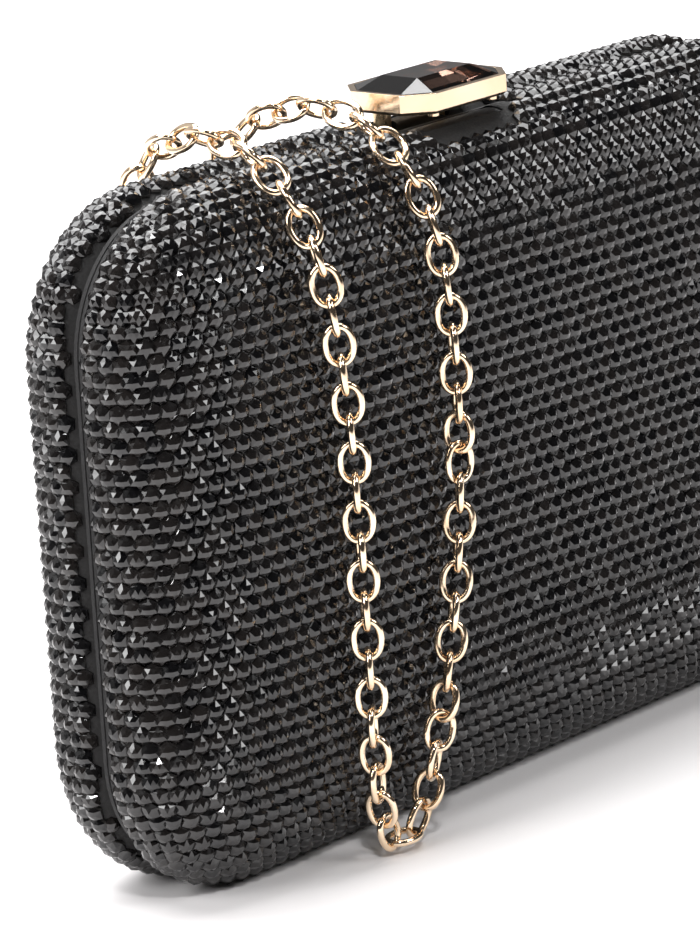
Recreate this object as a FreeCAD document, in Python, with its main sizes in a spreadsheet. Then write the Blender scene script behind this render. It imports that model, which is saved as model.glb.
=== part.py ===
"""Crystal-covered box clutch: two pillow-shaped half shells hinged along the bottom, with a jewelled
push clasp on top and a short wrist chain.

Frame: X along the width, Y from front (-) to back (+), Z up. The bag stands on its bottom edge and
the origin is at the middle of that edge, in the plane where the two halves meet. Sizes are in mm.
"""

import FreeCAD, Part
import math
import os

import Sketcher

Vector = FreeCAD.Vector
Placement = FreeCAD.Placement
Rotation = FreeCAD.Rotation

# ---------------------------------------------------------------- driving dimensions

DIMENSIONS = [
    # the pillow-shaped outside
    ("width", 182.0, "overall width of the case"),
    ("top_height", 114.0, "highest line of the case"),
    ("half_depth", 19.0, "meeting plane to the flat of a face"),
    ("corner_radius", 25.0, "corners of the outline, seen from the front"),
    ("face_corner_radius", 9.0, "corners of the flat of a face"),
    ("edge_blend", 33.0, "how far the rounding reaches in from the outline"),
    ("edge_power", 2.4, "squareness of the rounding, 2 is an ellipse"),
    ("rim_start", 0.9, "meeting plane to the edge of a half"),
    ("crown_offset", 4.0, "meeting plane to the widest line of a half"),
    ("rim_roll", 2.0, "how far the rim turns in towards the meeting plane"),
    ("base_trim", 0.6, "depth of the flat that the bag stands on"),
    # layers
    ("stone_layer", 1.8, "stones and the fabric they are set on"),
    ("shell_wall", 1.6, "moulded shell"),
    ("lining_wall", 1.2, "padded lining"),
    ("frame_inset", 5.5, "outline to the rim frame"),
    ("frame_width", 2.2, "rim frame, across"),
    ("frame_depth", 4.1, "rim frame, front to back"),
    ("facing_gap", 0.15, "meeting plane to a seam facing"),
    ("facing_inset", 2.8, "outline to the seam facing"),
    # hinge
    ("hinge_height", 1.9, "height of the hinge line"),
    ("hinge_length", 110.0, "length of the hinge"),
    ("knuckle_radius", 1.6, "outside of a knuckle"),
    ("pin_radius", 0.6, "hinge pin"),
    ("pin_clearance", 0.05, "play between the pin and a knuckle"),
    ("leaf_thickness", 0.7, "hinge leaf"),
    ("leaf_top", 7.9, "upper edge of a hinge leaf"),
    ("rivet_radius", 0.6, "small rivets"),
    # clasp
    ("jewel_length", 27.0, "bezel, along the width of the bag"),
    ("jewel_width", 19.0, "bezel, front to back"),
    ("jewel_corner", 4.3, "cut corners of the bezel"),
    ("bezel_bottom", 115.2, "underside of the bezel"),
    ("bezel_height", 3.5, "height of the bezel band"),
    ("bezel_wall", 1.1, "wall of the bezel"),
    ("bezel_floor", 0.8, "floor of the bezel"),
    ("table_length", 13.9, "flat top of the crystal, along the width"),
    ("table_width", 7.5, "flat top of the crystal, front to back"),
    ("crown_height", 1.7, "bezel rim to the flat top of the crystal"),
    ("window_margin", 0.6, "gap round the bezel, where the stones stop"),
    ("post_spacing", 14.0, "between the two button posts"),
    ("post_offset", 4.2, "meeting plane to the button posts"),
    ("post_radius", 1.5, "button posts"),
    ("bush_radius", 2.2, "outside of the guide bushes"),
    ("catch_height", 98.0, "top of the catch bar"),
    ("housing_top", 106.2, "top of the clasp housing"),
    ("housing_bottom", 88.6, "bottom of the clasp housing"),
    ("tongue_height", 100.0, "underside of the strike tongue"),
    ("spring_bow", 7.6, "radius of the bowed spring"),
    ("spring_thickness", 0.3, "strip of the spring"),
    # chain
    ("link_length", 7.4, "chain link, outside"),
    ("link_width", 5.6, "chain link, outside"),
    ("wire_radius", 0.575, "wire of a chain link"),
    ("link_count", 77, "chain links"),
    ("lug_centre_x", -41.0, "chain lug, along the width"),
    ("lug_centre_z", 68.0, "chain lug, height"),
    ("lug_arch", 5.4, "radius of the lug's loop"),
    ("lug_wire", 0.8, "wire radius of the lug's loop"),
    ("ring_radius", 4.5, "chain ring, to the middle of its wire"),
    ("ring_wire", 0.7, "wire radius of the chain ring"),
]

doc = FreeCAD.newDocument("EveningBag")
sheet = doc.addObject("Spreadsheet::Sheet", "Dimensions")
for row, (alias, value, meaning) in enumerate(DIMENSIONS, start=1):
    sheet.set(f"A{row}", meaning)
    sheet.set(f"B{row}", str(value))
    sheet.setAlias(f"B{row}", alias)
doc.recompute()
size = {alias: float(sheet.get(alias)) for alias, _, _ in DIMENSIONS}

FRONT, BACK = -1, 1
SUBPARTS = []


def finished(obj, label):
    """Gives a finished piece the name that its file takes."""
    obj.Label = label
    SUBPARTS.append(obj)
    return obj


def bind(obj, **expressions):
    """Ties properties of an object to the sheet. A double underscore stands for a dot."""
    for prop, text in expressions.items():
        obj.setExpression(prop.replace("__", "."), text)
    return obj


# ---------------------------------------------------------------- small builders


def box(name, low, high):
    """A box between two corners, each given as three expressions or numbers."""
    obj = doc.addObject("Part::Box", name)
    for prop, start, end in zip(("Length", "Width", "Height"), low, high):
        obj.setExpression(prop, f"({end}) - ({start})")
    for axis, start in zip("xyz", low):
        obj.setExpression(f"Placement.Base.{axis}", str(start))
    return obj


def cylinder(name, radius, length, base, direction=Vector(0, 0, 1)):
    """A cylinder of which the radius, length and base are expressions or numbers."""
    obj = doc.addObject("Part::Cylinder", name)
    obj.Placement = Placement(Vector(), Rotation(Vector(0, 0, 1), direction))
    obj.setExpression("Radius", str(radius))
    obj.setExpression("Height", str(length))
    for axis, text in zip("xyz", base):
        obj.setExpression(f"Placement.Base.{axis}", str(text))
    return obj


def fused(name, pieces):
    obj = doc.addObject("Part::MultiFuse", name)
    obj.Shapes = pieces
    return obj


def cut(name, base, tool):
    obj = doc.addObject("Part::Cut", name)
    obj.Base = base
    obj.Tool = tool
    return obj


def grouped(name, pieces):
    """Several separate solids in one object."""
    obj = doc.addObject("Part::Compound", name)
    obj.Links = pieces
    return obj


def mirrored(name, source):
    """The same piece on the other side of the meeting plane."""
    obj = doc.addObject("Part::Mirroring", name)
    obj.Source = source
    obj.Base = Vector(0, 0, 0)
    obj.Normal = Vector(0, 1, 0)
    return obj


def origin_plane(body, role):
    return next(f for f in body.Origin.OriginFeatures if f.Role == role)


def new_body(name):
    return doc.addObject("PartDesign::Body", name)


def new_sketch(body, name, role, offset=0.0):
    """A sketch on one of the body's own origin planes, moved along that plane's normal."""
    sketch = body.newObject("Sketcher::SketchObject", name)
    sketch.AttachmentSupport = [(origin_plane(body, role), "")]
    sketch.MapMode = "FlatFace"
    sketch.AttachmentOffset = Placement(Vector(0, 0, offset), Rotation())
    return sketch


def pad(body, sketch, name, length, reverse=False):
    feature = body.newObject("PartDesign::Pad", name)
    feature.Profile = sketch
    feature.Reversed = reverse
    feature.setExpression("Length", str(length))
    return feature


def pocket(body, sketch, name, length, reverse=False):
    """A pocket that has to take something away."""
    before = body.Shape.Volume
    feature = body.newObject("PartDesign::Pocket", name)
    feature.Profile = sketch
    feature.Reversed = reverse
    feature.setExpression("Length", str(length))
    doc.recompute()
    if body.Shape.Volume >= before - 1e-6:
        raise ValueError(f"{name} removes nothing")
    return feature


def add_outline(sketch, half_width, half_height, corner, prefix):
    """A rounded rectangle about the sketch's origin. Its three sizes are expressions."""
    w, h, r = 40.0, 30.0, 8.0
    ends = [((-w + r, -h), (w - r, -h)), ((w, -h + r), (w, h - r)),
            ((w - r, h), (-w + r, h)), ((-w, h - r), (-w, -h + r))]
    centres = [(w - r, -h + r, 270), (w - r, h - r, 0), (-w + r, h - r, 90), (-w + r, -h + r, 180)]
    lines, arcs = [], []
    for (start, end), (cx, cy, angle) in zip(ends, centres):
        lines.append(sketch.addGeometry(Part.LineSegment(Vector(*start, 0), Vector(*end, 0))))
        circle = Part.Circle(Vector(cx, cy, 0), Vector(0, 0, 1), r)
        arc = Part.ArcOfCircle(circle, math.radians(angle), math.radians(angle + 90))
        arcs.append(sketch.addGeometry(arc))
    for i in range(4):
        sketch.addConstraint(Sketcher.Constraint("Tangent", lines[i], 2, arcs[i], 1))
        sketch.addConstraint(Sketcher.Constraint("Tangent", arcs[i], 2, lines[(i + 1) % 4], 1))
    for i in (0, 2):
        sketch.addConstraint(Sketcher.Constraint("Horizontal", lines[i]))
        sketch.addConstraint(Sketcher.Constraint("Vertical", lines[i + 1]))
    for i in range(1, 4):
        sketch.addConstraint(Sketcher.Constraint("Equal", arcs[0], arcs[i]))
    driving = [("right", "DistanceX", (-1, 1, lines[1], 1), w, half_width),
               ("top", "DistanceY", (-1, 1, lines[2], 1), h, half_height),
               ("left", "DistanceX", (lines[3], 1, -1, 1), w, half_width),
               ("bottom", "DistanceY", (lines[0], 1, -1, 1), h, half_height),
               ("corner", "Radius", (arcs[0],), r, corner)]
    for label, kind, where, value, text in driving:
        index = sketch.addConstraint(Sketcher.Constraint(kind, *where, value))
        sketch.renameConstraint(index, prefix + label)
        sketch.setExpression(f"Constraints.{prefix}{label}", text)


def add_octagon(sketch, half_length, half_width, corner):
    """A rectangle with its four corners cut off. Its three sizes are expressions."""
    a, b, c = 13.0, 9.0, 4.0
    points = [(a, b - c), (a - c, b), (c - a, b), (-a, b - c), (-a, c - b), (c - a, -b), (a - c, -b), (a, c - b)]
    edges = []
    for start, end in zip(points, points[1:] + points[:1]):
        edges.append(sketch.addGeometry(Part.LineSegment(Vector(*start, 0), Vector(*end, 0))))
    for i in range(8):
        sketch.addConstraint(Sketcher.Constraint("Coincident", edges[i], 2, edges[(i + 1) % 8], 1))
    for i in (1, 5):
        sketch.addConstraint(Sketcher.Constraint("Horizontal", edges[i]))
    for i in (3, 7):
        sketch.addConstraint(Sketcher.Constraint("Vertical", edges[i]))
    driving = [("right", "DistanceX", (-1, 1, edges[0], 1), a, half_length),
               ("back", "DistanceY", (-1, 1, edges[1], 1), b, half_width),
               ("left", "DistanceX", (edges[3], 1, -1, 1), a, half_length),
               ("front", "DistanceY", (edges[5], 1, -1, 1), b, half_width)]
    for label, kind, where, value, text in driving:
        index = sketch.addConstraint(Sketcher.Constraint(kind, *where, value))
        sketch.renameConstraint(index, label)
        sketch.setExpression(f"Constraints.{label}", text)
    for i in (0, 2, 4, 6):
        for kind in ("DistanceX", "DistanceY"):
            start, end = sorted((1, 2), key=lambda e: getattr(sketch.getPoint(edges[i], e), kind[-1].lower()))
            index = sketch.addConstraint(Sketcher.Constraint(kind, edges[i], start, edges[i], end, c))
            sketch.renameConstraint(index, f"cut_{kind[-1]}_{i}")
            sketch.setExpression(f"Constraints.cut_{kind[-1]}_{i}", corner)


# ---------------------------------------------------------------- the pillow shape


def outline_wire(half_width, low, high, radius, y):
    """A rounded rectangle standing in the plane at depth y."""
    sides = [(half_width, high, 0), (-half_width, high, 90), (-half_width, low, 180), (half_width, low, 270)]
    edges, last, first = [], None, None
    for x, z, start in sides:
        cx = x - math.copysign(radius, x)
        cz = z - radius if z == high else z + radius
        on_arc = [Vector(cx + radius * math.cos(math.radians(start + a)), y,
                         cz + radius * math.sin(math.radians(start + a))) for a in (0, 45, 90)]
        if last is not None:
            edges.append(Part.LineSegment(last, on_arc[0]).toShape())
        first = first or on_arc[0]
        edges.append(Part.Arc(*on_arc).toShape())
        last = on_arc[2]
    edges.append(Part.LineSegment(last, first).toShape())
    return Part.Wire(edges)


def profile(inset):
    """Points of the rounded edge, as distance in from the outline and depth, for one layer."""
    crown = size["crown_offset"]
    reach = size["half_depth"] - inset - crown
    points = []
    for step in range(3):
        part = step / 3
        points.append((size["rim_roll"] * (1 - part) ** 2, size["rim_start"] + part * (crown - size["rim_start"])))
    for angle in (0, 17, 32, 46, 58, 69, 79, 90):
        turn = math.radians(angle)
        power = 2 / size["edge_power"]
        into = size["edge_blend"] * (1 - max(math.cos(turn), 0.0) ** power)
        points.append((into, crown + reach * math.sin(turn) ** power))
    return points


def pillow(name, inset):
    """One half of the pillow shape, on the back side, shrunk all round by inset."""
    wires = []
    for into, depth in profile(inset):
        share = into / size["edge_blend"]
        radius = (size["corner_radius"] - inset) * (1 - share) + size["face_corner_radius"] * share
        wires.append(outline_wire(size["width"] / 2 - inset - into, inset + into - size["base_trim"],
                                  size["top_height"] - inset - into, radius, depth))
    obj = doc.addObject("Part::Feature", name)
    obj.Shape = Part.makeLoft(wires, True, False, False, 3)
    obj.Placement = Placement()
    return obj


outside = pillow("outside", 0.0)
under_stones = pillow("under_stones", size["stone_layer"])
under_shell = pillow("under_shell", size["stone_layer"] + size["shell_wall"])
inside = pillow("inside", size["stone_layer"] + size["shell_wall"] + size["lining_wall"])

# ---------------------------------------------------------------- what is cut out of the halves

reach = "Dimensions.hinge_length / 2 + 1.5"
hinge_relief = box("hinge_relief", (f"-({reach})", "-2.3", "-5"), (reach, "2.3", "4.3"))
leaf_relief = box("leaf_relief", (f"-({reach})", "-2.3", "-5"), (reach, "2.3", "Dimensions.leaf_top + 0.2"))
ground = box("ground", ("-120", "-40", "-10"), ("120", "40", "0"))
mouth = box("mouth", ("-120", "-5.05", "-10"), ("120", "5.05", "130"))

window_body = new_body("clasp_window")
window_sketch = new_sketch(window_body, "window_outline", "XY_Plane", 100.0)
add_octagon(window_sketch, "Dimensions.jewel_length / 2 + Dimensions.window_margin",
            "Dimensions.jewel_width / 2 + Dimensions.window_margin",
            "Dimensions.jewel_corner + 0.3")
pad(window_body, window_sketch, "window_pad", 30)

posts_x = ("-Dimensions.post_spacing / 2", "Dimensions.post_spacing / 2")
post_holes = fused("post_holes", [
    cylinder(f"post_hole_{i}", "Dimensions.bush_radius + 0.2", 20, (x, "Dimensions.post_offset", 104))
    for i, x in enumerate(posts_x)])

lug_z = "Dimensions.lug_centre_z"
lug_x = "Dimensions.lug_centre_x"
lug_back = "Dimensions.half_depth - 0.4"
lug_recess = box("lug_recess", (f"{lug_x} - 4.7", "Dimensions.half_depth - 3", f"{lug_z} - 9.2"),
                 (f"{lug_x} + 4.7", "Dimensions.half_depth + 3", f"{lug_z} + 9.2"))
lug_rivets = grouped("lug_rivet_pair", [
    cylinder(f"lug_rivet_{i}", 0.7, 3.3, (lug_x, "Dimensions.half_depth - 3.35", f"{lug_z} + {dz}"), Vector(0, 1, 0))
    for i, dz in enumerate((-7.7, 7.7))])


# ---------------------------------------------------------------- covers, shells and linings


def half_pieces(side):
    """The stone cover, the moulded shell and the lining of one half."""
    word = "back" if side == BACK else "front"

    def solid(name, source):
        return source if side == BACK else mirrored(f"{word}_{name}", source)

    whole = solid("outside", outside)
    second = solid("under_stones", under_stones)
    third = solid("under_shell", under_shell)
    fourth = solid("inside", inside)

    cover = cut(f"{word}_cover_skin", whole, second)
    tools = [ground, hinge_relief, window_body] + ([lug_recess] if side == BACK else [])
    cover = cut(f"{word}_cover", cover, fused(f"{word}_cover_openings", tools))
    finished(cover, f"{word}_stone_cover")

    shell = cut(f"{word}_shell_skin", second, third)
    tools = [hinge_relief] + ([post_holes, lug_rivets] if side == BACK else [])
    shell = cut(f"{word}_case", shell, fused(f"{word}_shell_openings", tools) if len(tools) > 1 else tools[0])
    finished(shell, f"{word}_shell")

    lining = cut(f"{word}_lining_skin", third, fourth)
    lining = cut(f"{word}_lining_body", lining, mouth)
    if side == BACK:
        lining = cut("back_lining_holes", lining, post_holes)
    finished(lining, f"{word}_lining")


# ---------------------------------------------------------------- rim frames and seam facings


def ring_body(name, outer_inset, width, start, depth, side, rounder):
    """A flat ring that follows the outline, padded from the meeting plane outwards."""
    body = new_body(name)
    sketch = new_sketch(body, f"{name}_outline", "XZ_Plane", start * -side)
    height = "(Dimensions.top_height + Dimensions.base_trim) / 2"
    for label, inset in (("outer_", outer_inset), ("inner_", f"{outer_inset} + {width}")):
        add_outline(sketch, f"Dimensions.width / 2 - ({inset})", f"{height} - ({inset})",
                    f"Dimensions.corner_radius - ({inset}) + {rounder}", label)
    pad(body, sketch, f"{name}_pad", depth, reverse=side == BACK)
    body.setExpression("Placement.Base.z", "(Dimensions.top_height - Dimensions.base_trim) / 2")
    return body


rivet_height = 6.1
rivets_along = [-50, -30, -10, 10, 30, 50]


def rim_pieces(side):
    """The metal frame inside the rim, the dark facing over the layers' edges, and the leaf's rivets."""
    word = "back" if side == BACK else "front"
    start = size["facing_gap"] if side == BACK else -(size["rim_start"] + size["frame_depth"] - 1)
    length = size["rim_start"] + size["frame_depth"] - 1 - size["facing_gap"]
    rivets = grouped(f"{word}_leaf_rivets", [
        cylinder(f"{word}_leaf_rivet_{i}", "Dimensions.rivet_radius", length, (x, start, rivet_height), Vector(0, 1, 0))
        for i, x in enumerate(rivets_along)])
    finished(rivets, f"{word}_hinge_rivets")

    frame = ring_body(f"{word}_frame_ring", "Dimensions.frame_inset", "Dimensions.frame_width",
                      size["rim_start"], "Dimensions.frame_depth", side, 1.6)
    holes = [rivets] + ([post_holes] if side == BACK else [strike_rivets])
    finished(cut(f"{word}_frame", frame, fused(f"{word}_frame_holes", holes)), f"{word}_rim_frame")

    facing = ring_body(f"{word}_facing_ring", "Dimensions.facing_inset",
                       "Dimensions.frame_inset + Dimensions.frame_width - Dimensions.facing_inset",
                       size["facing_gap"], "Dimensions.rim_start - Dimensions.facing_gap - 0.02", side, 0.0)
    finished(cut(f"{word}_facing", facing, leaf_relief), f"{word}_seam_facing")
    return rivets


# ---------------------------------------------------------------- hinge

KNUCKLES = 11
KNUCKLE_GAP = 0.1


def hinge_leaf(side, rivets):
    """A strip with knuckles along its lower edge. The two leaves' knuckles take turns."""
    word = "back" if side == BACK else "front"
    each = size["hinge_length"] / KNUCKLES
    first = 0 if side == BACK else 1
    low = "Dimensions.facing_gap" if side == BACK else "-Dimensions.facing_gap - Dimensions.leaf_thickness"
    high = "Dimensions.facing_gap + Dimensions.leaf_thickness" if side == BACK else "-Dimensions.facing_gap"
    half = "Dimensions.hinge_length / 2"
    strip = box(f"{word}_strip", (f"-{half}", low, "Dimensions.hinge_height + Dimensions.knuckle_radius + 0.2"),
                (half, high, "Dimensions.leaf_top"))
    pieces = [strip]
    for i in range(first, KNUCKLES, 2):
        start = -size["hinge_length"] / 2 + i * each + KNUCKLE_GAP / 2
        end = start + each - KNUCKLE_GAP
        pieces.append(cylinder(f"{word}_knuckle_{i}", "Dimensions.knuckle_radius", end - start,
                               (start, 0, "Dimensions.hinge_height"), Vector(1, 0, 0)))
        pieces.append(box(f"{word}_tab_{i}", (start, low, "Dimensions.hinge_height"),
                          (end, high, "Dimensions.hinge_height + 3")))
    bore = cylinder(f"{word}_bore", "Dimensions.pin_radius + Dimensions.pin_clearance",
                    "Dimensions.hinge_length + 4", ("-Dimensions.hinge_length / 2 - 2", 0, "Dimensions.hinge_height"),
                    Vector(1, 0, 0))
    leaf = cut(f"{word}_leaf_bored", fused(f"{word}_leaf_blank", pieces), fused(f"{word}_leaf_bores", [bore, rivets]))
    finished(leaf, f"{word}_hinge_leaf")


# ---------------------------------------------------------------- clasp


def clasp_bezel():
    body = new_body("bezel")
    outline = new_sketch(body, "bezel_outline", "XY_Plane")
    add_octagon(outline, "Dimensions.jewel_length / 2", "Dimensions.jewel_width / 2", "Dimensions.jewel_corner")
    pad(body, outline, "bezel_band", "Dimensions.bezel_height")
    doc.recompute()
    seat = new_sketch(body, "bezel_seat", "XY_Plane", 0.0)
    seat.setExpression("AttachmentOffset.Base.z", "Dimensions.bezel_floor")
    add_octagon(seat, "Dimensions.jewel_length / 2 - Dimensions.bezel_wall",
                "Dimensions.jewel_width / 2 - Dimensions.bezel_wall", "Dimensions.jewel_corner - 0.6")
    pocket(body, seat, "bezel_pocket", "Dimensions.bezel_height", reverse=True)
    for i, x in enumerate(posts_x):
        hole = new_sketch(body, f"post_seat_{i}", "XY_Plane")
        circle = hole.addGeometry(Part.Circle(Vector(1, 1, 0), Vector(0, 0, 1), 1))
        for label, kind, where, text in (("along", "DistanceX", (-1, 1, circle, 3), x),
                                         ("across", "DistanceY", (-1, 1, circle, 3), "Dimensions.post_offset"),
                                         ("radius", "Radius", (circle,), "Dimensions.post_radius - 0.4")):
            index = hole.addConstraint(Sketcher.Constraint(kind, *where, 1.0))
            hole.renameConstraint(index, label)
            hole.setExpression(f"Constraints.{label}", text)
        pocket(body, hole, f"post_pocket_{i}", "Dimensions.bezel_floor + 1", reverse=True)
    last = body.Tip
    bottom_edges = [f"Edge{i + 1}" for i, edge in enumerate(last.Shape.Edges)
                    if edge.BoundBox.ZMax < 1e-6 and edge.Curve.TypeId == "Part::GeomLine"]
    bevel = body.newObject("PartDesign::Chamfer", "bezel_bevel")
    bevel.Base = (last, bottom_edges)
    bevel.Size = 0.55
    body.Tip = bevel
    body.setExpression("Placement.Base.z", "Dimensions.bezel_bottom")
    finished(cut("bezel_body", body, bezel_feet()), "clasp_bezel")


def octagon_points(half_length, half_width, corner, z):
    corners = []
    for sx, sy in ((1, 1), (-1, 1), (-1, -1), (1, -1)):
        pair = [Vector(sx * half_length, sy * (half_width - corner), z),
                Vector(sx * (half_length - corner), sy * half_width, z)]
        corners += pair if sx * sy > 0 else pair[::-1]
    return corners


def clasp_crystal():
    """A cut stone: a girdle with eight sides, a flat top, four long facets and four corner triangles."""
    gap = 0.05
    half_length = size["jewel_length"] / 2 - size["bezel_wall"] - gap
    half_width = size["jewel_width"] / 2 - size["bezel_wall"] - gap
    corner = size["jewel_corner"] - 0.6
    seat = size["bezel_bottom"] + size["bezel_floor"] + 0.5
    rim = size["bezel_bottom"] + size["bezel_height"]
    girdle = octagon_points(half_length, half_width, corner, rim)
    belt = octagon_points(half_length, half_width, corner, seat + 0.8)

    def rectangle(scale, z):
        return [Vector(sx * size["table_length"] / 2 * scale, sy * size["table_width"] / 2 * scale, z)
                for sx, sy in ((1, 1), (-1, 1), (-1, -1), (1, -1))]

    table = rectangle(1.0, rim + size["crown_height"])
    keel = rectangle(1.35, seat)

    def face(points):
        return Part.Face(Part.makePolygon(points + points[:1]))

    faces = [face(table), face(keel[::-1])]
    for i in range(8):
        j = (i + 1) % 8
        faces.append(face([belt[i], belt[j], girdle[j], girdle[i]]))
    for i in range(4):
        a, b, c = girdle[2 * i], girdle[2 * i + 1], girdle[(2 * i + 2) % 8]
        d, e, f = belt[2 * i], belt[2 * i + 1], belt[(2 * i + 2) % 8]
        after = (i + 1) % 4
        faces.append(face([a, b, table[i]]))
        faces.append(face([b, c, table[after], table[i]]))
        faces.append(face([e, d, keel[i]]))
        faces.append(face([f, e, keel[i], keel[after]]))
    crystal = doc.addObject("Part::Feature", "crystal")
    crystal.Shape = Part.makeSolid(Part.makeShell(faces))
    crystal.Placement = Placement()
    finished(crystal, "clasp_crystal")


def button_posts():
    """Two posts, riveted over inside the bezel above and under the catch bar below."""
    posts = []
    for i, x in enumerate(posts_x):
        y = "Dimensions.post_offset"
        shank = cylinder(f"post_shank_{i}", "Dimensions.post_radius",
                         "Dimensions.bezel_bottom - Dimensions.catch_height", (x, y, "Dimensions.catch_height"))
        upper = cylinder(f"post_upper_{i}", "Dimensions.post_radius - 0.4", "Dimensions.bezel_floor + 0.3",
                         (x, y, "Dimensions.bezel_bottom"))
        lower = cylinder(f"post_lower_{i}", "Dimensions.post_radius - 0.5", 2.0,
                         (x, y, "Dimensions.catch_height - 2.0"))
        posts.append(fused(f"post_{i}", [shank, upper, lower]))
    finished(grouped("posts", posts), "button_posts")


def catch_bar():
    """The bar that joins the posts, with the tooth that holds the tongue."""
    top = "Dimensions.catch_height"
    bar = box("bar", ("-Dimensions.post_spacing / 2 - 2.2", "Dimensions.post_offset - 1.9", f"{top} - 1.5"),
              ("Dimensions.post_spacing / 2 + 2.2", "Dimensions.post_offset + 1.9", top))
    tooth = box("tooth", ("-2", "Dimensions.post_offset - 0.9", f"{top} - 0.5"),
                ("2", "Dimensions.post_offset + 0.3", "Dimensions.tongue_height - 0.15"))
    holes = fused("bar_holes", [
        cylinder(f"bar_hole_{i}", "Dimensions.post_radius - 0.5", 4, (x, "Dimensions.post_offset", f"{top} - 3"))
        for i, x in enumerate(posts_x)])
    finished(cut("bar_with_holes", fused("bar_and_tooth", [bar, tooth]), holes), "catch_bar")


def clasp_housing():
    """The box behind the top rim. Its back is open until the cover is screwed on."""
    top, bottom = "Dimensions.housing_top", "Dimensions.housing_bottom"
    block = box("housing_block", ("-13", "1.2", bottom), ("13", "9.2", top))
    chamber = box("housing_chamber", ("-10.4", "2.0", f"{bottom} + 1"), ("10.4", "10", f"{top} - 3.4"))
    slot = box("tongue_slot", ("-3.7", "0", "Dimensions.tongue_height - 0.6"),
               ("3.7", "3", "Dimensions.tongue_height + 1.9"))
    cover_seat = box("cover_seat", ("-14", "8.2", f"{bottom} - 1"), ("14", "10", f"{top} - 2"))
    bores = fused("bush_seats", [
        cylinder(f"bush_seat_{i}", "Dimensions.bush_radius", 10, (x, "Dimensions.post_offset", f"{top} - 5"))
        for i, x in enumerate(posts_x)])
    screws = grouped("cover_screws", [
        fused(f"cover_screw_{i}", [
            cylinder(f"screw_shank_{i}", 0.6, 4.0, (x, 5.2, "Dimensions.housing_bottom + 8"), Vector(0, 1, 0)),
            cylinder(f"screw_head_{i}", 1.1, 0.5, (x, 9.15, "Dimensions.housing_bottom + 8"), Vector(0, 1, 0))])
        for i, x in enumerate((-11.7, 11.7))])
    tools = fused("housing_hollows", [chamber, slot, cover_seat, bores, screws])
    finished(cut("housing_body", block, tools), "clasp_housing")

    plate = box("cover_plate", ("-12.9", "8.25", f"{bottom} + 0.1"), ("12.9", "9.15", f"{top} - 2.1"))
    finished(cut("cover_plate_holes", plate, screws), "housing_cover")
    finished(screws, "housing_screws")

    bushes = []
    for i, x in enumerate(posts_x):
        sleeve = cylinder(f"sleeve_{i}", "Dimensions.bush_radius", 4.5, (x, "Dimensions.post_offset", f"{top} - 3.6"))
        bore = cylinder(f"sleeve_bore_{i}", "Dimensions.post_radius + 0.05", 8,
                        (x, "Dimensions.post_offset", f"{top} - 5"))
        bushes.append(cut(f"bush_{i}", sleeve, bore))
    finished(grouped("bushes", bushes), "guide_bushes")


def bezel_feet():
    """Four round-headed pins under the bezel."""
    feet = []
    for sx in (-1, 1):
        for sy in (-1, 1):
            at = (f"{sx * 7.6}", f"{sy * 7.4}")
            shank = cylinder("foot_shank", 0.6, "Dimensions.bezel_floor + 0.3", (*at, "Dimensions.bezel_bottom - 0.3"))
            head = cylinder("foot_head", 0.95, 0.6, (*at, "Dimensions.bezel_bottom - 0.65"))
            feet.append(fused("foot", [shank, head]))
    return finished(grouped("feet", feet), "bezel_feet")


def clasp_spring():
    """A bowed strip of spring steel between the housing's floor and the catch bar."""
    crest = "Dimensions.catch_height - 1.55"
    centre = ("0", "Dimensions.post_offset - 1.4", f"{crest} - Dimensions.spring_bow")
    outer = cylinder("spring_outer", "Dimensions.spring_bow", 2.8, centre, Vector(0, 1, 0))
    inner = cylinder("spring_inner", "Dimensions.spring_bow - Dimensions.spring_thickness", 2.8, centre,
                     Vector(0, 1, 0))
    below = box("spring_below", ("-10", "0", "80"), ("10", "9", "Dimensions.housing_bottom + 1.05"))
    bow = cut("spring_ring", outer, inner)
    finished(cut("spring_strip", bow, below), "clasp_spring")


def strike_tongue():
    """The angle plate on the front half whose blade reaches into the housing."""
    under = "Dimensions.tongue_height"
    leg = box("tongue_leg", ("-5", "-6.1", under), ("5", "-5.05", "108.3"))
    blade = box("tongue_blade", ("-3.2", "-6.1", under), ("3.2", "6.8", f"{under} + 1.2"))
    notch = box("tongue_notch", ("-2.4", "Dimensions.post_offset - 1.3", f"{under} - 1"),
                ("2.4", "Dimensions.post_offset + 0.7", f"{under} + 3"))
    rivets = grouped("strike_rivet_pair", [
        cylinder(f"strike_rivet_{i}", "Dimensions.rivet_radius", 5.5, (x, -6.4, 107.4), Vector(0, 1, 0))
        for i, x in enumerate((-3.6, 3.6))])
    tongue = cut("tongue_body", fused("tongue_blank", [leg, blade]), fused("tongue_holes", [notch, rivets]))
    finished(tongue, "strike_tongue")
    return finished(rivets, "strike_rivets")


# ---------------------------------------------------------------- chain


def chain_lug():
    """A plate in the stone cover with a standing loop."""
    plate = box("lug_plate", (f"{lug_x} - 4.5", f"{lug_back} - 1.4", f"{lug_z} - 9"),
                (f"{lug_x} + 4.5", lug_back, f"{lug_z} + 9"))
    loop = doc.addObject("Part::Torus", "lug_loop")
    bind(loop, Radius1="Dimensions.lug_arch", Radius2="Dimensions.lug_wire", Placement__Base__x=lug_x,
         Placement__Base__y=f"{lug_back} - 0.3", Placement__Base__z=lug_z)
    loop.Placement = Placement(loop.Placement.Base, Rotation(Vector(0, 1, 0), 90))
    inner_half = box("loop_inner_half", (f"{lug_x} - 6", "0", f"{lug_z} - 9"), (f"{lug_x} + 6", f"{lug_back} - 0.5",
                                                                              f"{lug_z} + 9"))
    blank = fused("lug_blank", [plate, cut("lug_arch", loop, inner_half)])
    finished(cut("lug_body", blank, lug_rivets), "chain_lug")
    finished(lug_rivets, "lug_rivets")


RING_DEPTH = 22.0


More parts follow.
